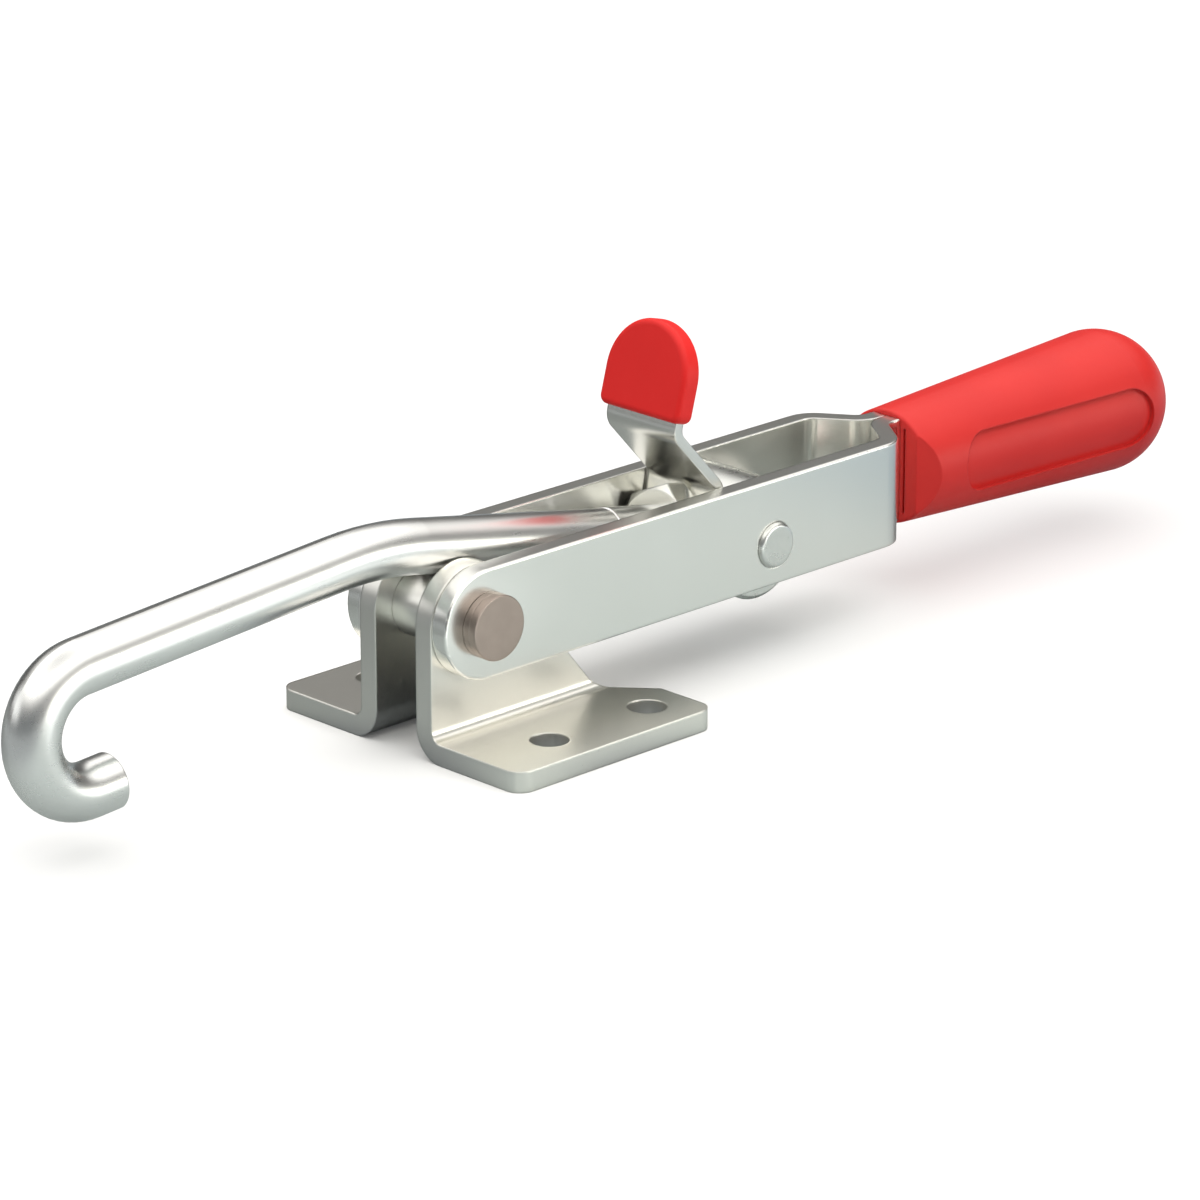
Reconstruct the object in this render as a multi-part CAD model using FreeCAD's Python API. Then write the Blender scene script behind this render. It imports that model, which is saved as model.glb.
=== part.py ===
import FreeCAD, Part
import math
import os
from FreeCAD import Vector

# Pull-action over-centre toggle latch with a J-hook, a flanged base and a thumb lever.
# The origin is the middle of the four base holes, on the underside of the base.
# X runs from the hook to the grip, the near side is -Y, and Z is up. Sizes are in millimetres.

# Base brackets, two mirrored angles folded from thick sheet
base_sheet = 3.1
base_gap = 8.24
base_length = 38.1
base_half_width = 24.75
base_bend_radius = 1.6
base_corner_radius = 2.6
base_hole_pitch = 19.05
base_hole_spread = 35.7
base_hole_dia = 5.6
base_front_reach = 21.9
base_head_radius = 8.1
base_cut_foot_x = 8.6
base_cut_bend_run = 3.0
base_cut_end_y = 14.0
edge_round = 0.3

# Main pivot, whose axis lies across the base
pivot_x = -13.8
pivot_z = 19.15
pivot_pin_radius = 3.2
pivot_head_radius = 4.72
pivot_head_height = 1.3
pivot_washer_height = 1.05
rest_gap = 0.03
running_gap = 0.05
seat_gap = 0.02

# Handle plates, two mirrored strips that are joggled together into a tang
plate_sheet = 2.8
plate_half_height = 8.0
plate_gap = 14.56
joggle_start_x = 67.35
joggle_angle = 55.0
joggle_inner_radius = 2.5
tang_half_gap = 0.02
tang_half_height = 6.6
tang_end_x = 122.0

# Grip, a moulded round taper with a domed end
grip_front_x = 77.8
grip_front_radius = 8.8
grip_front_rounding = 0.4
grip_taper_end_x = 125.4
grip_end_radius = 11.2
grip_flat_half_width = 6.2
grip_facet_angle = 45.0
grip_slot_clearance = 0.03
grip_relief_inner_y = 3.45
grip_relief_width = 0.45
grip_relief_depth = 3.0
recess_start_x = 86.0
recess_end_x = 126.8
recess_half_height = 4.65
recess_depth = 0.7

# Trunnion, a cross-drilled round block whose stub ends turn in the handle plates
trunnion_x = 43.4
trunnion_z = 17.26
trunnion_radius = 9.0
trunnion_chamfer = 0.6
trunnion_side_gap = 0.13
stub_radius = 3.4
stub_proud = 0.75
stub_rounding = 0.65

# Hook rod, bent from round bar, with its threaded end through the trunnion
rod_radius = 3.97
thread_core_radius = 3.6
rod_hole_clearance = 0.08
rod_angle = 10.9
rod_tail = 16.5
thread_end = 25.1
thread_chamfer = 0.4
shank_bend_radius = 55.0
shank_bend_x = -18.5
shank_fall = 4.3
shank_length = 45.3
hook_bend_radius = 8.77
hook_turn = 179.9
hook_tip_length = 3.75
hook_tip_chamfer = 0.25

# Hex nuts that clamp the lever and the trunnion on the rod
nut_across_flats = 13.0
jam_nut_height = 4.5
full_nut_height = 6.5
nut_turn = 5.2
nut_chamfer_angle = 30.0

# Thumb lever, a strip folded twice and held under the front nut
lever_sheet = 1.5
lever_half_width = 6.9
lever_foot = 7.0
lever_corner_radius = 2.0
lever_low_bend = 8.0
lever_high_bend = 15.8
lever_offset = 10.6
lever_bend_radius = 2.4
tab_lean = 4.5
tab_straight = 7.6
cap_front_wall = 1.2
cap_back_wall = 0.65
cap_side_wall = 1.15
cap_bottom = 1.85
cap_corner_radius = 1.3
cap_edge_radius = 0.9


def point(x, y, z):
    return Vector(x, y, z)


def prism(edges, direction):
    """Close the edges into one flat face and push it along the direction."""
    wire = Part.Wire(Part.__sortEdges__(edges))
    return Part.Face(wire).extrude(direction)


def line(start, end):
    return Part.LineSegment(start, end).toShape()


def arc(start, middle, end):
    return Part.Arc(start, middle, end).toShape()


def mirrored(shape):
    """The far-side twin of a near-side shape."""
    return shape.mirror(Vector(0, 0, 0), Vector(0, 1, 0))


def cross_pin(x, z, radius, y_from, y_to):
    """A round bar across the latch, from y_from to y_to."""
    return Part.makeCylinder(radius, y_to - y_from, point(x, y_from, z), Vector(0, 1, 0))


def rounded(shape, radius, picked):
    """Round the picked edges of a shape."""
    return shape.makeFillet(radius, [edge for edge in shape.Edges if picked(edge)])


def edge_is_flat_in_y(edge, y):
    box = edge.BoundBox
    return abs(box.YMin - y) < 0.001 and abs(box.YMax - y) < 0.001


# Values that follow from the sizes above
base_inner_y = base_gap / 2
tang_shoulder_x = grip_front_x - running_gap
base_outer_y = base_inner_y + base_sheet
bend_outer_radius = base_bend_radius + base_sheet
bend_y = base_outer_y + base_bend_radius
bend_z = bend_outer_radius
base_front_x = -base_front_reach
base_rear_x = base_front_x + base_length
plate_inner_y = plate_gap / 2
plate_outer_y = plate_inner_y + plate_sheet
tang_outer_y = tang_half_gap + plate_sheet
stub_end_y = plate_outer_y + stub_proud
trunnion_half_width = plate_inner_y - trunnion_side_gap
washer_inner_y = plate_outer_y + running_gap
head_inner_y = washer_inner_y + pivot_washer_height
pin_end_y = head_inner_y + pivot_head_height
tilt = math.radians(rod_angle)
along = Vector(-math.cos(tilt), 0, math.sin(tilt))
above = Vector(math.sin(tilt), 0, math.cos(tilt))
trunnion_centre = point(trunnion_x, 0, trunnion_z)
tab_tilt = tilt + math.radians(tab_lean)
tab_forward = Vector(-math.cos(tab_tilt), 0, math.sin(tab_tilt))
tab_up = Vector(math.sin(tab_tilt), 0, math.cos(tab_tilt))
rod_height = (pivot_x - trunnion_x) * above.x + (pivot_z - trunnion_z) * above.z
spacer_radius = -rod_height - rod_radius - rest_gap
lever_back = trunnion_radius
lever_front = lever_back + lever_sheet
jam_nut_front = lever_front + jam_nut_height


def on_rod(forward, up, y=0.0):
    """A point by its distance from the trunnion along the rod and square to it."""
    return trunnion_centre + along * forward + above * up + Vector(0, y, 0)


def bracket_side_outline():
    """The upright wall from the side: a round head on a sloped rear edge."""
    foot_x, foot_z = base_cut_foot_x, bend_z
    reach_x, reach_z = pivot_x - foot_x, pivot_z - foot_z
    distance = math.hypot(reach_x, reach_z)
    slope = math.atan2(reach_z, reach_x) - math.asin(base_head_radius / distance)
    normal = slope - math.pi / 2
    touch = point(pivot_x + base_head_radius * math.cos(normal), 0,
                  pivot_z + base_head_radius * math.sin(normal))
    top = point(pivot_x, 0, pivot_z + base_head_radius)
    front = point(base_front_x, 0, pivot_z)
    low_front = point(base_front_x, 0, foot_z)
    foot = point(foot_x, 0, foot_z)
    return [line(low_front, front), arc(front, top, touch), line(touch, foot), line(foot, low_front)]


def bracket_wall():
    wall = prism(bracket_side_outline(), Vector(0, base_sheet, 0))
    wall.translate(Vector(0, -base_outer_y, 0))
    return wall


def bracket_bend():
    """The quarter-round fold, whose rear end follows the sloped cut of the blank."""
    ring = Part.makeCylinder(bend_outer_radius, base_length, point(base_front_x, -bend_y, bend_z),
                             Vector(1, 0, 0))
    ring = ring.cut(Part.makeCylinder(base_bend_radius, base_length,
                                      point(base_front_x, -bend_y, bend_z), Vector(1, 0, 0)))
    corner = Part.makeBox(base_length, bend_outer_radius, bend_outer_radius,
                          point(base_front_x, -bend_y, 0))
    return ring.common(corner).cut(bend_end_cutter())


def bend_end_cutter():
    """What lies behind a twisted face that steps back evenly round the fold."""
    pitch = base_cut_bend_run * 4
    inner = Part.makeHelix(pitch, pitch / 4, base_bend_radius / 2, 0, True)
    outer = Part.makeHelix(pitch, pitch / 4, bend_outer_radius * 1.3, 0, True)
    face = Part.makeRuledSurface(inner.Edges[0], outer.Edges[0])
    cutter = face.extrude(Vector(0, 0, base_length))
    cutter.rotate(Vector(0, 0, 0), Vector(0, 1, 0), 90)
    cutter.rotate(Vector(0, 0, 0), Vector(1, 0, 0), 90)
    cutter.translate(Vector(base_cut_foot_x, -bend_y, bend_z))
    return cutter


def bracket_flange():
    """The foot from above: rounded outer corners and a sloped inner rear corner."""
    front, rear = base_front_x, base_rear_x
    outer, inner = -base_half_width, -bend_y
    r = base_corner_radius
    s = r * (1 - math.sqrt(0.5))
    cut_x = base_cut_foot_x + base_cut_bend_run
    edges = [line(point(front, inner, 0), point(front, outer + r, 0)),
             arc(point(front, outer + r, 0), point(front + s, outer + s, 0), point(front + r, outer, 0)),
             line(point(front + r, outer, 0), point(rear - r, outer, 0)),
             arc(point(rear - r, outer, 0), point(rear - s, outer + s, 0), point(rear, outer + r, 0)),
             line(point(rear, outer + r, 0), point(rear, -base_cut_end_y, 0)),
             line(point(rear, -base_cut_end_y, 0), point(cut_x, inner, 0)),
             line(point(cut_x, inner, 0), point(front, inner, 0))]
    flange = prism(edges, Vector(0, 0, base_sheet))
    for x in (-base_hole_pitch / 2, base_hole_pitch / 2):
        flange = flange.cut(Part.makeCylinder(base_hole_dia / 2, base_sheet,
                                              point(x, -base_hole_spread / 2, 0)))
    return flange


def base_bracket():
    bracket = bracket_wall().fuse([bracket_bend(), bracket_flange()]).removeSplitter()
    return bracket.cut(cross_pin(pivot_x, pivot_z, pivot_pin_radius, -base_outer_y, -base_inner_y))


def pivot_spacer():
    half = base_inner_y - seat_gap
    spacer = cross_pin(pivot_x, pivot_z, spacer_radius, -half, half)
    return spacer.cut(cross_pin(pivot_x, pivot_z, pivot_pin_radius, -half, half))


def pivot_pin():
    """The main pin, with a turned head on the near side and the same head formed on the far side."""
    pin = cross_pin(pivot_x, pivot_z, pivot_pin_radius, -pin_end_y, pin_end_y)
    for y_from in (-pin_end_y, head_inner_y):
        pin = pin.fuse(cross_pin(pivot_x, pivot_z, pivot_head_radius, y_from,
                                 y_from + pivot_head_height))
    pin = pin.removeSplitter()
    return rounded(pin, edge_round * 0.6, lambda edge: abs(edge.BoundBox.YMin) > pin_end_y - 0.001
                   and edge.BoundBox.YLength < 0.001)


def pivot_washer():
    outer = -head_inner_y
    ring = cross_pin(pivot_x, pivot_z, pivot_head_radius, outer, outer + pivot_washer_height)
    return ring.cut(cross_pin(pivot_x, pivot_z, pivot_pin_radius, outer, outer + pivot_washer_height))


def joggle_points():
    """Corner points of one strip's section from above, as (x, distance from the middle)."""
    a = math.radians(joggle_angle)
    r_in = joggle_inner_radius
    r_out = r_in + plate_sheet
    c, s = math.cos(a), math.sin(a)
    first = (joggle_start_x, plate_inner_y - r_in)
    drop = plate_inner_y - tang_half_gap
    turned = (r_in + r_out) * (1 - c)
    leg = (drop - turned) / s
    second = (first[0] + (r_in + r_out) * s + leg * c, tang_outer_y + r_in)
    return first, second, r_in, r_out, a


def plate_section():
    """The strip's edge outline from above, with its two opposite bends."""
    first, second, r_in, r_out, a = joggle_points()

    def place(centre, radius, angle):
        return point(centre[0] + radius * math.sin(angle), -(centre[1] + radius * math.cos(angle)), 0)

    front_x = pivot_x - plate_half_height
    up = math.pi
    outer_start, outer_mid, outer_end = (place(first, r_out, t) for t in (0, a / 2, a))
    inner_start, inner_mid, inner_end = (place(first, r_in, t) for t in (0, a / 2, a))
    low_start, low_mid, low_end = (place(second, r_in, up + t) for t in (a, a / 2, 0))
    under_start, under_mid, under_end = (place(second, r_out, up + t) for t in (a, a / 2, 0))
    tip_outer = point(tang_end_x, -tang_outer_y, 0)
    tip_inner = point(tang_end_x, -tang_half_gap, 0)
    nose_outer = point(front_x, -plate_outer_y, 0)
    nose_inner = point(front_x, -plate_inner_y, 0)
    return [line(nose_outer, outer_start), arc(outer_start, outer_mid, outer_end),
            line(outer_end, low_start), arc(low_start, low_mid, low_end),
            line(low_end, tip_outer), line(tip_outer, tip_inner), line(tip_inner, under_end),
            arc(under_end, under_mid, under_start), line(under_start, inner_end),
            arc(inner_end, inner_mid, inner_start), line(inner_start, nose_inner),
            line(nose_inner, nose_outer)]


def plate_side_outline():
    """The strip from the side: round nose about the pivot, stepped tang with a round end."""
    low, high = pivot_z - plate_half_height, pivot_z + plate_half_height
    tang_low, tang_high = pivot_z - tang_half_height, pivot_z + tang_half_height
    nose = point(pivot_x - plate_half_height, 0, pivot_z)
    end_x = tang_end_x - tang_half_height
    return [arc(point(pivot_x, 0, high), nose, point(pivot_x, 0, low)),
            line(point(pivot_x, 0, low), point(tang_shoulder_x, 0, low)),
            line(point(tang_shoulder_x, 0, low), point(tang_shoulder_x, 0, tang_low)),
            line(point(tang_shoulder_x, 0, tang_low), point(end_x, 0, tang_low)),
            arc(point(end_x, 0, tang_low), point(tang_end_x, 0, pivot_z), point(end_x, 0, tang_high)),
            line(point(end_x, 0, tang_high), point(tang_shoulder_x, 0, tang_high)),
            line(point(tang_shoulder_x, 0, tang_high), point(tang_shoulder_x, 0, high)),
            line(point(tang_shoulder_x, 0, high), point(pivot_x, 0, high))]


def handle_plate():
    strip = prism(plate_section(), Vector(0, 0, 2 * plate_half_height))
    strip.translate(Vector(0, 0, pivot_z - plate_half_height))
    outline = prism(plate_side_outline(), Vector(0, plate_outer_y, 0))
    outline.translate(Vector(0, -plate_outer_y, 0))
    plate = strip.common(outline)
    plate = rounded(plate, edge_round, lambda edge: edge_is_flat_in_y(edge, -plate_outer_y)
                    and edge.BoundBox.XMax < joggle_start_x + 0.001
                    and edge.BoundBox.XLength > 1)
    for x, z, radius in ((pivot_x, pivot_z, pivot_pin_radius), (trunnion_x, trunnion_z, stub_radius)):
        plate = plate.cut(cross_pin(x, z, radius + running_gap, -plate_outer_y, -plate_inner_y))
    return plate


def grip_body(inset):
    """The round taper with its dome, brought in all round by the inset."""
    dome_x = grip_taper_end_x
    front = grip_front_radius - inset
    rear = grip_end_radius - inset
    r = grip_front_rounding
    s = r * (1 - math.sqrt(0.5))
    shoulder = front + (rear - front) * r / (dome_x - grip_front_x)
    edges = [line(point(grip_front_x, 0, 0), point(grip_front_x, 0, front - r)),
             arc(point(grip_front_x, 0, front - r), point(grip_front_x + s, 0, front - s),
                 point(grip_front_x + r, 0, shoulder)),
             line(point(grip_front_x + r, 0, shoulder), point(dome_x, 0, rear)),
             arc(point(dome_x, 0, rear),
                 point(dome_x + rear * math.sqrt(0.5), 0, rear * math.sqrt(0.5)),
                 point(dome_x + rear, 0, 0)),
             line(point(dome_x + rear, 0, 0), point(grip_front_x, 0, 0))]
    profile = Part.Face(Part.Wire(edges))
    body = profile.revolve(Vector(0, 0, 0), Vector(1, 0, 0), 360)
    body.translate(Vector(0, 0, pivot_z))
    return body


def grip_facet_cutter():
    """A wedge that slopes the near side of the grip's front back from its flat middle."""
    reach = 2 * grip_end_radius
    back = grip_front_x + reach / math.tan(math.radians(grip_facet_angle))
    start_y = -grip_flat_half_width
    edges = [line(point(grip_front_x, start_y, 0), point(back, start_y - reach, 0)),
             line(point(back, start_y - reach, 0), point(grip_front_x, start_y - reach, 0)),
             line(point(grip_front_x, start_y - reach, 0), point(grip_front_x, start_y, 0))]
    wedge = prism(edges, Vector(0, 0, 2 * reach))
    wedge.translate(Vector(0, 0, pivot_z - reach))
    return wedge


def grip_recess():
    """The bare racetrack panel on the near side, a shallow pocket under the round surface."""
    r = recess_half_height
    x0, x1 = recess_start_x + r, recess_end_x - r
    low, high = pivot_z - r, pivot_z + r
    edges = [line(point(x0, 0, low), point(x1, 0, low)),
             arc(point(x1, 0, low), point(x1 + r, 0, pivot_z), point(x1, 0, high)),
             line(point(x1, 0, high), point(x0, 0, high)),
             arc(point(x0, 0, high), point(x0 - r, 0, pivot_z), point(x0, 0, low))]
    panel = prism(edges, Vector(0, -grip_end_radius * 1.2, 0))
    return panel.cut(grip_body(recess_depth))


def grip():
    cuts = [grip_facet_cutter(), grip_recess()]
    body = grip_body(0).cut(cuts + [mirrored(cut) for cut in cuts])
    slot_half = tang_outer_y + grip_slot_clearance
    slot_high = tang_half_height + grip_slot_clearance
    end_x = tang_end_x - tang_half_height
    slot = Part.makeBox(end_x - grip_front_x, 2 * slot_half, 2 * slot_high,
                        point(grip_front_x, -slot_half, pivot_z - slot_high))
    slot_end = cross_pin(end_x, pivot_z, slot_high, -slot_half, slot_half)
    relief = Part.makeBox(grip_relief_depth, grip_relief_width, 2 * slot_high,
                          point(grip_front_x, grip_relief_inner_y, pivot_z - slot_high))
    return body.cut([slot, slot_end, relief, mirrored(relief)])


def trunnion():
    half = trunnion_half_width
    body = cross_pin(trunnion_x, trunnion_z, trunnion_radius, -half, half)
    body = body.makeChamfer(trunnion_chamfer, [e for e in body.Edges if e.BoundBox.YLength < 0.001])
    stubs = cross_pin(trunnion_x, trunnion_z, stub_radius, -stub_end_y, stub_end_y)
    stubs = rounded(stubs, stub_rounding, lambda edge: edge.BoundBox.YLength < 0.001)
    hole = Part.makeCylinder(rod_radius + rod_hole_clearance, 4 * trunnion_radius,
                             on_rod(-2 * trunnion_radius, 0), along)
    return body.fuse(stubs).removeSplitter().cut(hole)


def hook_path():
    """The rod's middle line from its thread end to the hook's tip, and the start of each bend."""
    start = on_rod(thread_end, 0)
    bend = on_rod((trunnion_x - shank_bend_x) / math.cos(tilt), 0)
    fall = math.radians(shank_fall)

    def turn(corner, heading, radius, angle):
        """A downward bend from a heading given as the slope above level, looking to the hook."""
        centre = corner - Vector(math.sin(heading), 0, math.cos(heading)) * radius
        points = []
        for part in (0.5, 1.0):
            now = heading - angle * part
            points.append(centre + Vector(math.sin(now), 0, math.cos(now)) * radius)
        return points

    middle, shank = turn(bend, tilt, shank_bend_radius, tilt + fall)
    hook_start = shank + Vector(-math.cos(fall), 0, -math.sin(fall)) * shank_length
    sweep = math.radians(hook_turn)
    nose, hook_end = turn(hook_start, -fall, hook_bend_radius, sweep)
    last = -fall - sweep
    tip = hook_end + Vector(-math.cos(last), 0, math.sin(last)) * hook_tip_length
    return Part.Wire([line(start, bend), arc(bend, middle, shank), line(shank, hook_start),
                      arc(hook_start, nose, hook_end), line(hook_end, tip)]), tip


def j_hook():
    path, tip = hook_path()
    start = on_rod(thread_end, 0)
    ring = Part.Wire(Part.makeCircle(rod_radius, start, along))
    rod = path.makePipeShell([ring], True, False)
    rod = rounded(rod, hook_tip_chamfer, lambda edge: len(edge.Vertexes) == 1
                  and (edge.CenterOfMass - tip).Length < 0.01)
    rod = rod.makeChamfer(thread_chamfer, [e for e in rod.Edges if len(e.Vertexes) == 1
                                           and (e.CenterOfMass - start).Length < 0.01])
    thread = Part.makeCylinder(thread_core_radius, rod_tail + thread_end, on_rod(-rod_tail, 0), along)
    thread = thread.makeChamfer(thread_chamfer, [e for e in thread.Edges if len(e.Vertexes) == 1
                                                 and (e.CenterOfMass - on_rod(-rod_tail, 0)).Length < 0.01])
    return rod.fuse(thread).removeSplitter()


def hex_nut(seat, height):
    """A nut that starts at the seat and stands forward, with both faces turned to cones."""
    corner = nut_across_flats / math.sqrt(3)
    ring = []
    for k in range(6):
        a = math.radians(60 * k + nut_turn)
        ring.append(on_rod(seat, corner * math.cos(a), -corner * math.sin(a)))
    sides = [line(ring[k], ring[(k + 1) % 6]) for k in range(6)]
    body = prism(sides, along * height)
    drop = corner * math.tan(math.radians(nut_chamfer_angle))
    face_radius = nut_across_flats / 2 * 0.97
    rise = (corner - face_radius) * math.tan(math.radians(nut_chamfer_angle))
    middle = Part.makeCylinder(corner, height - 2 * rise, on_rod(seat + rise, 0), along)
    front = Part.makeCone(corner, face_radius, rise, on_rod(seat + height - rise, 0), along)
    back = Part.makeCone(face_radius, corner, rise, on_rod(seat, 0), along)
    turned = middle.fuse([front, back])
    bore = Part.makeCylinder(thread_core_radius, height + drop, on_rod(seat - drop / 2, 0), along)
    return body.common(turned).cut(bore)


def on_tab(forward, up, y=0.0):
    """A point by its distance from the lever's upper fold, square to the tab and up along it."""
    fold = on_rod((lever_back + lever_front) / 2 + lever_offset, lever_high_bend)
    return fold + tab_forward * forward + tab_up * up + Vector(0, y, 0)


def fold_arc(centre, radius, angles):
    """An arc about a fold's centre, given as (forward, up) along the rod and square to it."""
    ends = [on_rod(centre[0] + radius * math.cos(t), centre[1] + radius * math.sin(t))
            for t in (angles[0], (angles[0] + angles[1]) / 2, angles[1])]
    return arc(*ends), ends[0], ends[2]


def lever_strip():
    """The twice-folded strip seen from the side, pushed across the latch."""
    half = lever_sheet / 2
    middle = lever_back + half
    web = math.atan2(lever_offset, lever_high_bend - lever_low_bend)
    lean = math.radians(tab_lean)
    r = lever_bend_radius
    low_run = r * math.tan(web / 2)
    high_run = r * math.tan((web + lean) / 2)
    low = (middle + r, lever_low_bend - low_run)
    high = (middle + lever_offset - high_run * math.sin(lean) - r * math.cos(lean),
            lever_high_bend + high_run * math.cos(lean) - r * math.sin(lean))
    low_turn = (math.pi, math.pi - web)
    high_turn = (-web, lean)
    low_back, a0, a1 = fold_arc(low, r + half, low_turn)
    low_front, b0, b1 = fold_arc(low, r - half, low_turn)
    high_back, c0, c1 = fold_arc(high, r - half, high_turn)
    high_front, d0, d1 = fold_arc(high, r + half, high_turn)
    foot_back, foot_front = on_rod(lever_back, -lever_foot), on_rod(lever_front, -lever_foot)
    top = tab_straight + lever_half_width + 1
    top_back, top_front = on_tab(-half, top), on_tab(half, top)
    edges = [line(foot_back, a0), low_back, line(a1, c0), high_back, line(c1, top_back),
             line(top_back, top_front), line(top_front, d1), high_front, line(d0, b1), low_front,
             line(b0, foot_front), line(foot_front, foot_back)]
    strip = prism(edges, Vector(0, 2 * lever_half_width, 0))
    strip.translate(Vector(0, -lever_half_width, 0))
    return strip


def round_topped_block(place, forward, half_width, low, corner, straight_top, depths):
    """A block with a half-round top and rounded lower corners, in the frame that place gives."""
    h, r = half_width, corner
    s = r * (1 - math.sqrt(0.5))

    def at(y, up):
        return place(depths[0], up, y)

    edges = [line(at(-h + r, low), at(h - r, low)),
             arc(at(h - r, low), at(h - s, low + s), at(h, low + r)),
             line(at(h, low + r), at(h, straight_top)),
             arc(at(h, straight_top), at(0, straight_top + h), at(-h, straight_top)),
             line(at(-h, straight_top), at(-h, low + r)),
             arc(at(-h, low + r), at(-h + s, low + s), at(-h + r, low))]
    return prism(edges, forward * (depths[1] - depths[0]))


def lever_blank():
    reach = 2 * (lever_offset + lever_high_bend + tab_straight)
    foot = round_topped_block(on_rod, along, lever_half_width, -lever_foot, lever_corner_radius,
                              reach, (lever_back - reach, lever_back + reach))
    tab = round_topped_block(on_tab, tab_forward, lever_half_width, -reach, lever_corner_radius,
                             tab_straight, (-reach, reach))
    return lever_strip().common(foot).common(tab)


def thumb_lever():
    hole = Part.makeCylinder(rod_radius + rod_hole_clearance, 3 * lever_sheet,
                             on_rod(lever_back - lever_sheet, 0), along)
    return lever_blank().cut(hole)


def lever_cap():
    """The moulded cap over the lever's tab, open below where the strip comes out."""
    back, front = -lever_sheet / 2 - cap_back_wall, lever_sheet / 2 + cap_front_wall
    cap = round_topped_block(on_tab, tab_forward, lever_half_width + cap_side_wall, cap_bottom,
                             cap_corner_radius, tab_straight, (back, front))
    faces = (on_tab(back, 0), on_tab(front, 0))

    def on_flat_side(edge):
        return any(all(abs((v.Point - face).dot(tab_forward)) < 0.001 for v in edge.Vertexes)
                   and abs((edge.CenterOfMass - face).dot(tab_forward)) < 0.001 for face in faces)

    cap = rounded(cap, cap_edge_radius, on_flat_side)
    return cap.cut(lever_blank())


def build():
    near = {"base_bracket": base_bracket(), "handle_plate": handle_plate(),
            "pivot_washer": pivot_washer()}
    shapes = {}
    for name, shape in near.items():
        shapes[name + "_near"] = shape
        shapes[name + "_far"] = mirrored(shape)
    shapes["pivot_spacer"] = pivot_spacer()
    shapes["pivot_pin"] = pivot_pin()
    shapes["grip"] = grip()
    shapes["trunnion"] = trunnion()
    shapes["j_hook"] = j_hook()
    shapes["front_nut"] = hex_nut(lever_front, jam_nut_height)
    shapes["rear_nut"] = hex_nut(-trunnion_radius - full_nut_height, full_nut_height)
    shapes["thumb_lever"] = thumb_lever()
    shapes["lever_cap"] = lever_cap()
    return shapes


os.makedirs("parts", exist_ok=True)
for node, shape in build().items():
    shape.exportStep(os.path.join("parts", node + ".step"))
    print(node, len(shape.Solids), round(shape.Volume, 1), shape.isValid())
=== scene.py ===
"""Over-centre toggle latch: looks, light and camera."""
import math

import bmesh
import bpy
from mathutils import Matrix


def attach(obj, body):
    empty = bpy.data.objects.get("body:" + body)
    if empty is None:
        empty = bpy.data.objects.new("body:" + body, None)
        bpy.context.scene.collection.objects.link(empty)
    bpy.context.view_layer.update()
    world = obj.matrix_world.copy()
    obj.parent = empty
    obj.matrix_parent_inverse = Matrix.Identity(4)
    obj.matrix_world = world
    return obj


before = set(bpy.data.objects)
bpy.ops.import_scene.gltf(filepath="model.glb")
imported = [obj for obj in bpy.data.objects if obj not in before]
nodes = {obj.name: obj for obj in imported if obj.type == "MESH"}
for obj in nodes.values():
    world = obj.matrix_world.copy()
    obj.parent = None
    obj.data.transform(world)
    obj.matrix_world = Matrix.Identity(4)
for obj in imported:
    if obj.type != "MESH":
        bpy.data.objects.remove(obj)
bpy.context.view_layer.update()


# Base brackets: a mirrored pair of angles folded from thick steel sheet and zinc plated.
# The sheet faces are smooth and slightly warm, and the sheared edges are duller and greyer.
# Each is screwed down through its flange, and the main pin passes through both upright walls.
class Wire:
    """One output of a material's nodes, so that shader maths reads as plain expressions."""

    def __init__(self, tree, socket):
        self.tree = tree
        self.socket = socket

    def maths(self, operation, *values):
        return self.tree.node("ShaderNodeMath", {"operation": operation}, values)

    def __add__(self, other):
        return self.maths("ADD", self, other)

    def __sub__(self, other):
        return self.maths("SUBTRACT", self, other)

    def __mul__(self, other):
        return self.maths("MULTIPLY", self, other)

    def __radd__(self, other):
        return self.maths("ADD", other, self)

    def __rsub__(self, other):
        return self.maths("SUBTRACT", other, self)

    def __rmul__(self, other):
        return self.maths("MULTIPLY", other, self)

    def wave(self):
        """Ripples from 0 to 1, one for each 2 pi."""
        return self.maths("SINE", self) * 0.5 + 0.5

    def step(self, low, high):
        """0 below low, 1 above high and a smooth rise between."""
        sockets = {"Value": self, "From Min": low, "From Max": high}
        return self.tree.node("ShaderNodeMapRange", {"interpolation_type": "SMOOTHSTEP"}, sockets)


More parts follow.
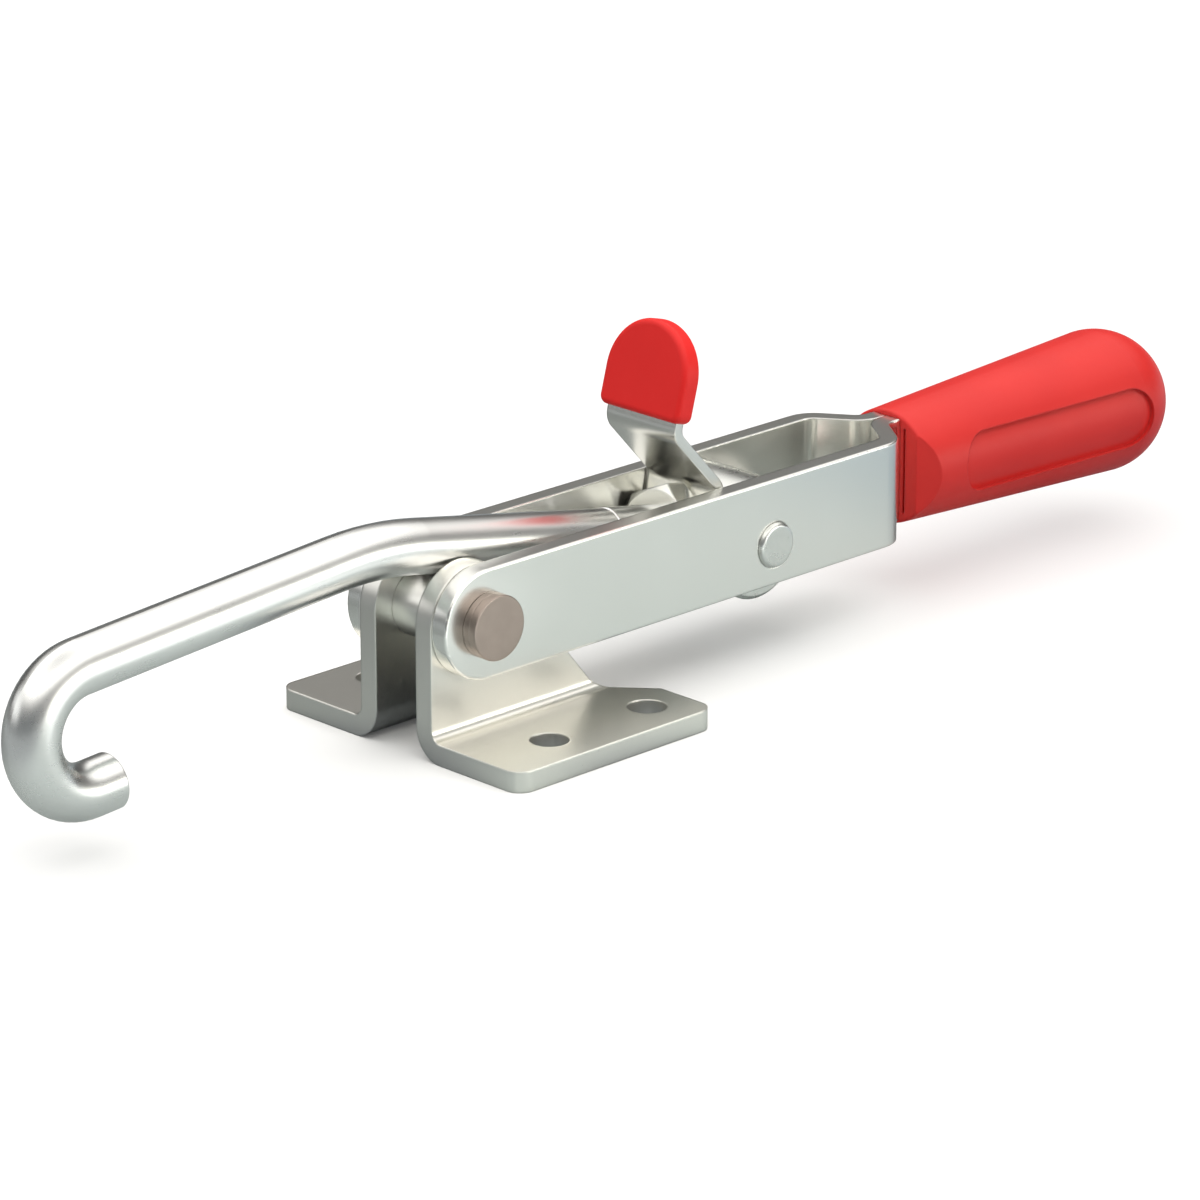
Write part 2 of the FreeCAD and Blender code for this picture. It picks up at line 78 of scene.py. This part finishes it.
class Shading:
    """A node tree in the making, with one method that adds any node."""

    def __init__(self, owner):
        owner.use_nodes = True
        self.nodes = owner.node_tree.nodes
        self.links = owner.node_tree.links

    def node(self, kind, settings, values, output=0):
        """Add a node: its settings first, then a value or a link for each named socket."""
        made = self.nodes.new(kind)
        for key, value in settings.items():
            if key == "stops":
                self.set_stops(made.color_ramp, value)
            else:
                setattr(made, key, value)
        pairs = values.items() if isinstance(values, dict) else enumerate(values)
        for key, value in pairs:
            self.put(made.inputs[key], value)
        return Wire(self, made.outputs[output])

    def set_stops(self, ramp, stops):
        while len(ramp.elements) < len(stops):
            ramp.elements.new(0.5)
        for element, (place, colour) in zip(ramp.elements, stops):
            element.position = place
            element.color = (*colour, 1)

    def put(self, socket, value):
        if isinstance(value, Wire):
            self.links.new(value.socket, socket)
        elif hasattr(value, "__len__") and len(value) == 3 and len(socket.default_value) == 4:
            socket.default_value = (*value, 1)
        else:
            socket.default_value = value

    def vector(self, operation, values, output=0):
        return self.node("ShaderNodeVectorMath", {"operation": operation}, values, output)

    def along(self, vector, x, y):
        """How far a vector reaches toward (x, y)."""
        return self.vector("DOT_PRODUCT", [vector, (x, y, 0)], "Value")

    def blend(self, amount, first, second):
        """A colour between two, by an amount from 0 to 1."""
        # The Mix node has sockets for each kind of data. Its colours are inputs 6 and 7, output 2.
        return self.node("ShaderNodeMix", {"data_type": "RGBA"},
                         {0: amount, 6: first, 7: second}, 2)


class Finish(Shading):
    """A material for one kind of piece, with the textures that the finishes share."""

    def __init__(self, name):
        self.material = bpy.data.materials.new(name)
        super().__init__(self.material)
        self.shader = self.nodes["Principled BSDF"]

    def set(self, **values):
        """Set or link the shader's own sockets, named with _ for a space."""
        for key, value in values.items():
            self.put(self.shader.inputs[key.replace("_", " ")], value)

    def place(self):
        """Where a point is on the object, in metres."""
        return self.node("ShaderNodeTexCoord", {}, {}, "Object")

    def facing(self, axis):
        """How far the surface looks along one of the piece's axes, from -1 to 1."""
        normal = self.node("ShaderNodeTexCoord", {}, {}, "Normal")
        return self.node("ShaderNodeSeparateXYZ", {}, {"Vector": normal}, axis)

    def stretched(self, scale, turn=0.0):
        """The place, turned about Y and scaled per axis, for a grain that runs one way."""
        turned = self.node("ShaderNodeVectorRotate", {"rotation_type": "Y_AXIS"},
                           {"Vector": self.place(), "Angle": turn})
        return self.vector("MULTIPLY", [turned, scale])

    def noise(self, vector, size, detail=3.0, rough=0.5):
        """Even cloudy noise from 0 to 1, with blobs of about this size in metres."""
        return self.node("ShaderNodeTexNoise", {},
                         {"Vector": vector, "Scale": 1 / size, "Detail": detail, "Roughness": rough})

    def softened(self, radius):
        """The normal with sharp edges rounded to this radius in metres."""
        return self.node("ShaderNodeBevel", {"samples": 6}, {"Radius": radius})

    def bump(self, height, depth, strength, normal):
        """A normal from a height from 0 to 1 that stands for this depth in metres."""
        return self.node("ShaderNodeBump", {}, {"Height": height, "Distance": depth,
                                                "Strength": strength, "Normal": normal})


def zinc_sheet(name, bright, shade, base_rough=0.2, edge_of_sheet=None):
    """Zinc-plated sheet: cloudy satin faces, a fine even grain, and duller sheared edges.

    edge_of_sheet is the axis that the sheared edges look along.
    """
    cloud_size, grain_size = 0.012, 0.0004
    grain_depth, edge_radius = 0.000005, 0.0004
    steel = Finish(name)
    cloud = steel.noise(steel.place(), cloud_size, 2.0)
    grain = steel.noise(steel.stretched((0.5, 1.0, 1.0)), grain_size, 4.0, 0.6)
    tone = (cloud * 0.5 + grain * 0.5).step(0.25, 0.75)
    colour = steel.blend(tone, shade, bright)
    rough = base_rough + grain * 0.06 + cloud * 0.02
    if edge_of_sheet:
        sheared_grey = (0.6, 0.6, 0.58)
        side = steel.facing(edge_of_sheet)
        cut = (side * side).step(0.6, 0.9)
        colour = steel.blend(cut * 0.4, colour, sheared_grey)
        rough = rough + cut * 0.05
    bump = steel.bump(grain, grain_depth, 0.25, steel.softened(edge_radius))
    steel.set(Base_Color=colour, Metallic=1.0, Roughness=rough, Normal=bump)
    return steel.material


def wear(name, material):
    """Give a piece of the frame its finish."""
    nodes[name].data.materials.clear()
    nodes[name].data.materials.append(material)


bracket_steel = zinc_sheet("bracket_zinc", (0.94, 0.925, 0.87), (0.92, 0.905, 0.85), 0.25, "X")
for name in ("base_bracket_near", "base_bracket_far"):
    wear(name, bracket_steel)


# Main pivot: a headed pin with a plain sleeve between the brackets, which the hook rod rests on.
# The pin and the ring under each head are turned steel with a brown-tinted finish, and the
# sleeve is bright zinc. The far head is formed over when the latch is put together.
def turned_steel(name, bright, shade, x, z, rough):
    """Turned steel: fine rings about the piece's own axis, which runs along Y through (x, z)."""
    cloud_size, mark_depth, edge_radius = 0.002, 0.000006, 0.0003
    ring_frequency = 42000.0  # radians for each metre, so a ring every 0.15 mm
    steel = Finish(name)
    away = steel.vector("SUBTRACT", [steel.place(), (x, 0, z)])
    flat = steel.vector("MULTIPLY", [away, (1, 0, 1)])
    radius = steel.vector("LENGTH", [flat], "Value")
    across = steel.node("ShaderNodeSeparateXYZ", {}, {"Vector": away}, "Y")
    rings = ((radius + across) * ring_frequency).wave()
    cloud = steel.noise(steel.place(), cloud_size)
    tone = (cloud * 0.9 + rings * 0.1).step(0.25, 0.75)
    bump = steel.bump(rings * 0.15 + cloud * 0.85, mark_depth, 0.2, steel.softened(edge_radius))
    steel.set(Base_Color=steel.blend(tone, shade, bright), Metallic=1.0,
              Roughness=rough + cloud * 0.08, Normal=bump)
    return steel.material


pivot_x, pivot_z = -0.0138, 0.01915
pin_steel = turned_steel("pin_bronzed", (0.43, 0.355, 0.315), (0.4, 0.33, 0.29),
                         pivot_x, pivot_z, 0.34)
for name in ("pivot_pin", "pivot_washer_near", "pivot_washer_far"):
    wear(name, pin_steel)
wear("pivot_spacer", turned_steel("sleeve_zinc", (0.94, 0.935, 0.89), (0.88, 0.87, 0.82),
                                  pivot_x, pivot_z, 0.26))


# Handle plates: a mirrored pair of flat steel strips, stamped and zinc plated. Each has a round
# nose on the main pin, a hole for the trunnion's stub, and a joggle that brings the pair
# together in the grip. Their sheared edges are darker than their faces.
plate_steel = zinc_sheet("plate_zinc", (0.95, 0.95, 0.915), (0.92, 0.92, 0.885), 0.2, "Z")
for name in ("handle_plate_near", "handle_plate_far"):
    wear(name, plate_steel)


# Grip: a red moulded plastic taper with a domed end, pushed over the two tangs.
# The panel on each side is a shallow racetrack pocket with a bare floor.
def moulded(name, lit, deep, rough, grain_size):
    """Moulded plastic: a fine even grain, slight clouds in the colour and a satin skin."""
    cloud_size, grain_depth, edge_radius = 0.014, 0.00003, 0.0004
    plastic = Finish(name)
    cloud = plastic.noise(plastic.place(), cloud_size, 2.0)
    grain = plastic.noise(plastic.place(), grain_size, 3.0, 0.6)
    colour = plastic.blend(cloud.step(0.3, 0.7), deep, lit)
    bump = plastic.bump(grain, grain_depth, 0.3, plastic.softened(edge_radius))
    plastic.set(Base_Color=colour, Roughness=rough + grain * 0.12, Normal=bump,
                Specular_IOR_Level=0.35)
    return plastic.material


wear("grip", moulded("grip_red", (0.73, 0.026, 0.022), (0.69, 0.022, 0.019), 0.38, 0.0007))


# Trunnion: a round steel block, turned and cross-drilled for the hook rod. Its stub ends turn
# in the handle plates, and it carries the pull from the rod to the lever.
trunnion_x, trunnion_z = 0.0434, 0.01726
wear("trunnion", turned_steel("trunnion_zinc", (0.82, 0.83, 0.8), (0.77, 0.78, 0.75),
                              trunnion_x, trunnion_z, 0.24))


# Hook rod: round steel bar bent to a J at one end and threaded at the other, bright zinc plated.
# The thread is a separate helical ridge laid on the rod's reduced end, at a 1.25 mm pitch. Ahead
# of the nut, a short plain land that is a little wider than the shank joins it to the bar.
def drawn_bar(name, bright, shade):
    """Drawn bar: a smooth bright skin with faint clouds and hair lines roughly along the bar."""
    cloud_size, hair_size = 0.009, 0.0005
    hair_depth, edge_radius = 0.000006, 0.0002
    steel = Finish(name)
    cloud = steel.noise(steel.place(), cloud_size, 2.0)
    hair = steel.noise(steel.stretched((0.05, 1.0, 1.0), -0.1), hair_size, 3.0)
    tone = (cloud * 0.7 + hair * 0.3).step(0.3, 0.7)
    steel.set(Base_Color=steel.blend(tone, shade, bright), Metallic=1.0,
              Roughness=0.24 + cloud * 0.05 + hair * 0.03,
              Normal=steel.bump(hair, hair_depth, 0.3, steel.softened(edge_radius)))
    return steel.material


rod_steel = drawn_bar("rod_zinc", (0.93, 0.93, 0.915), (0.88, 0.885, 0.87))
wear("j_hook", rod_steel)

rod_angle = math.radians(10.9)
rod_frame = (Matrix.Translation((trunnion_x, 0, trunnion_z))
             @ Matrix.Rotation(rod_angle - math.pi / 2, 4, "Y"))
thread_pitch = 0.00125
thread_root = 0.00356
thread_crest = 0.00394
thread_from = -0.0163
thread_to = 0.0154
foot_share = 0.38  # half the ridge's width at its foot and at its crest, as shares of the pitch
crest_share = 0.07
steps_per_turn = 36
steps = int((thread_to - thread_from) / thread_pitch * steps_per_turn)
mesh = bmesh.new()
previous = None
for k in range(steps + 1):
    turn = math.tau * k / steps_per_turn
    along = thread_from + thread_pitch * k / steps_per_turn
    fade = min(1, k / steps_per_turn, (steps - k) / steps_per_turn)
    crest = thread_root + (thread_crest - thread_root) * fade
    profile = ((thread_root, -foot_share), (crest, -crest_share),
               (crest, crest_share), (thread_root, foot_share))
    ring = [mesh.verts.new((r * math.cos(turn), r * math.sin(turn), along + shift * thread_pitch))
            for r, shift in profile]
    if previous:
        for a in range(len(profile) - 1):
            mesh.faces.new((previous[a], ring[a], ring[a + 1], previous[a + 1]))
    previous = ring

land_radius = 0.00411
land_front, land_back = 0.0254, 0.01504
front_foot_radius, front_foot = 0.00392, 0.02561
back_foot_radius = 0.0037
land_profile = ((front_foot_radius, front_foot), (land_radius, land_front),
                (land_radius, land_back), (back_foot_radius, land_back))
land_sides = 96
turns = [math.tau * k / land_sides for k in range(land_sides)]
previous = None
for radius, along in land_profile:
    ring = [mesh.verts.new((radius * math.cos(turn), radius * math.sin(turn), along))
            for turn in turns]
    if previous:
        for k in range(land_sides):
            mesh.faces.new((previous[k - 1], ring[k - 1], ring[k], previous[k]))
    previous = ring
for face in mesh.faces:
    face.smooth = True
bmesh.ops.recalc_face_normals(mesh, faces=mesh.faces)
thread_mesh = bpy.data.meshes.new("rod_thread")
mesh.to_mesh(thread_mesh)
mesh.free()
thread_mesh.set_sharp_from_angle(angle=math.radians(25))
thread_mesh.transform(rod_frame)
thread_mesh.materials.append(rod_steel)
thread = bpy.data.objects.new("rod_thread", thread_mesh)
bpy.context.scene.collection.objects.link(thread)
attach(thread, "hook")


# Nuts: a thin hexagon nut in front of the lever and a full one behind the trunnion, pressed from
# steel and zinc plated. They clamp the lever and the trunnion on the rod.
nut_steel = zinc_sheet("nut_zinc", (0.88, 0.875, 0.82), (0.82, 0.815, 0.76))
for name in ("front_nut", "rear_nut"):
    wear(name, nut_steel)


# Thumb lever: a steel strip folded twice and zinc plated, held on the rod by the front nut.
# Pressing its capped tab lifts the hook off the keeper.
wear("thumb_lever", zinc_sheet("lever_zinc", (0.93, 0.925, 0.88), (0.88, 0.875, 0.83), 0.2, "Y"))


# Lever cap: soft red plastic pushed over the lever's tab, open underneath.
wear("lever_cap", moulded("cap_red", (0.88, 0.018, 0.016), (0.83, 0.015, 0.013), 0.44, 0.0009))


# Table: a plain floor. The camera sees it white, with the latch's shade on it, which a painted glow
# lightens more with the distance from the base. The steel mirrors it in painted greys that differ
# by side, as painted shade, with a painted pale glow ahead of the near flange and toward the window.
floor_half = 4
floor_drop = 0.00002  # so that the base's underside and the floor don't share a plane
floor_mesh = bpy.data.meshes.new("floor")
floor_mesh.from_pydata([(-floor_half, -floor_half, 0), (floor_half, -floor_half, 0),
                        (floor_half, floor_half, 0), (-floor_half, floor_half, 0)],
                       [], [(0, 1, 2, 3)])
floor = bpy.data.objects.new("floor", floor_mesh)
floor.location.z = -floor_drop
bpy.context.scene.collection.objects.link(floor)
paper = Finish("floor_paper")
seen = paper.node("ShaderNodeLightPath", {}, {}, "Is Camera Ray")
mirrored = paper.node("ShaderNodeLightPath", {}, {}, "Is Glossy Ray")


def out_toward(x, y, low, high):
    """From 0 to 1 with the distance from the latch toward (x, y), in metres."""
    return paper.along(paper.place(), x, y).step(low, high)


black, full_white = (0, 0, 0), (1, 1, 1)
# Painted shade in the floor's greys, seen only by reflections and bounced light: darker behind the
# latch, beyond the grip, beyond the hook and under the base than on the near side.
far_grey, near_grey = (0.19, 0.205, 0.205), (0.455, 0.5, 0.495)
grip_side_grey, hook_side_grey = (0.27, 0.33, 0.37), (0.29, 0.31, 0.32)
painted_shade_under_base, painted_glow_pale = (0.24, 0.26, 0.28), (0.8, 0.8, 0.8)
# Painted glow: the floor's emission share for the camera, which lightens the latch's shade more with
# the distance from the base.
least_painted_glow, near_painted_glow, far_painted_glow = 0.05, 0.15, 0.35

apart = paper.vector("LENGTH", [paper.place()], "Value")
painted_glow_share = apart.step(0.02, 0.05) * near_painted_glow + apart.step(0.055, 0.115) * far_painted_glow + least_painted_glow
grey = paper.blend(out_toward(0.0, -1.0, -0.06, 0.03), far_grey, near_grey)
grey = paper.blend(out_toward(1.0, 0.0, 0.085, 0.14), grey, grip_side_grey)
grey = paper.blend(out_toward(-1.0, 0.0, 0.095, 0.14), grey, hook_side_grey)
# Painted shade: reflections see the floor darker within a few centimetres of the base's middle.
grey = paper.blend(apart.step(0.022, 0.034), painted_shade_under_base, grey)
# Painted reflection: a pale glow that only glossy rays see, ahead of the near flange and out toward
# the window.
ahead = out_toward(0.0, -1.0, 0.045, 0.065) * out_toward(-1.0, 0.0, -0.04, -0.02)
ahead = ahead * out_toward(1.0, 0.0, -0.07, -0.05)
toward_window = out_toward(0.7, -0.71, 0.14, 0.26)
painted_sheen = paper.blend((ahead + toward_window) * mirrored, black, painted_glow_pale)
# The camera sees a white lit by the lamps, with the painted glow on top that lightens the shade;
# other rays see the painted greys, and glossy rays see the painted pale glow too.
painted_floor_glow = paper.blend(seen, painted_sheen, paper.blend(painted_glow_share, black, full_white))
lamp_lit_white = paper.blend(painted_glow_share, full_white, black)
paper.set(Base_Color=paper.blend(seen, grey, lamp_lit_white), Emission_Color=painted_floor_glow, Emission_Strength=1.0,
          Roughness=1.0, Specular_IOR_Level=0.0)
floor_mesh.materials.append(paper.material)


# Light: a wide soft lamp over the latch, which the steel doesn't mirror. The steel mirrors a room
# with a bright band high on its walls: dim below it, with a low window ahead and to the right, a
# dark corner beyond the hook and a bright one behind on the left. The camera sees plain white.
lamp = bpy.data.lights.new("overhead", "AREA")
lamp.shape = "RECTANGLE"
lamp.size = 1.3
lamp.size_y = 1.3
lamp.energy = 4.3
overhead = bpy.data.objects.new("overhead", lamp)
overhead.location = (0.1, -0.1, 1.0)
overhead.visible_glossy = False
bpy.context.scene.collection.objects.link(overhead)

world = bpy.data.worlds.new("room")
bpy.context.scene.world = world
room = Shading(world)
direction = room.node("ShaderNodeTexCoord", {}, {}, "Generated")
height = room.node("ShaderNodeSeparateXYZ", {}, {"Vector": direction}, "Z")
wall_tint = (1.0, 0.985, 0.95)
window_light, dusk_light, gleam_light = (4.5, 4.45, 4.05), (0.15, 0.16, 0.165), (1.3, 1.3, 1.28)


def toward(x, y, low, high):
    """From 0 to 1 as the direction turns toward (x, y)."""
    return room.along(direction, x, y).step(low, high)


def wall_tones(*stops):
    """Brightness up the wall, as (height from 0 to 1, tone) pairs."""
    colours = [(place, tuple(tone * share for share in wall_tint)) for place, tone in stops]
    return room.node("ShaderNodeValToRGB", {"stops": colours}, {"Fac": height})


front = wall_tones((0.0, 0.2), (0.3, 0.38), (0.52, 0.4), (0.64, 1.5), (0.86, 1.5), (1.0, 0.9))
back = wall_tones((0.0, 0.06), (0.45, 0.07), (0.6, 1.3), (0.86, 1.5), (1.0, 0.9))
window = toward(0.7, -0.71, 0.6, 0.85) * toward(-0.67, -0.74, -0.05, 0.06)
window = window * (1 - height.step(0.13, 0.27))
dusk = toward(-1.0, -0.15, 0.3, 0.8) * (1 - height.step(0.3, 0.55))
gleam = toward(-0.7, 0.71, 0.75, 0.95) * height.step(0.1, 0.3)
walls = room.blend(toward(0.66, 0.75, -0.2, 0.5), front, back)
for part, light in ((window, window_light), (dusk, dusk_light), (gleam, gleam_light)):
    walls = room.blend(part, walls, light)
seen = room.node("ShaderNodeLightPath", {}, {}, "Is Camera Ray")
room.put(room.nodes["Background"].inputs["Color"], room.blend(seen, walls, full_white))

bpy.context.scene.view_settings.view_transform = "Standard"

# Camera: at the photograph's angle, above and to the hook side of the near flange.
azimuth, elevation = -44.49, 19.17
eye = bpy.data.cameras.new("camera")
eye.lens = 168
eye.sensor_width = 36
camera = bpy.data.objects.new("camera", eye)
camera.location = (-0.51307, -0.54039, 0.27586)
camera.rotation_euler = (math.radians(90 - elevation), 0, math.radians(azimuth))
bpy.context.scene.collection.objects.link(camera)
bpy.context.scene.camera = camera
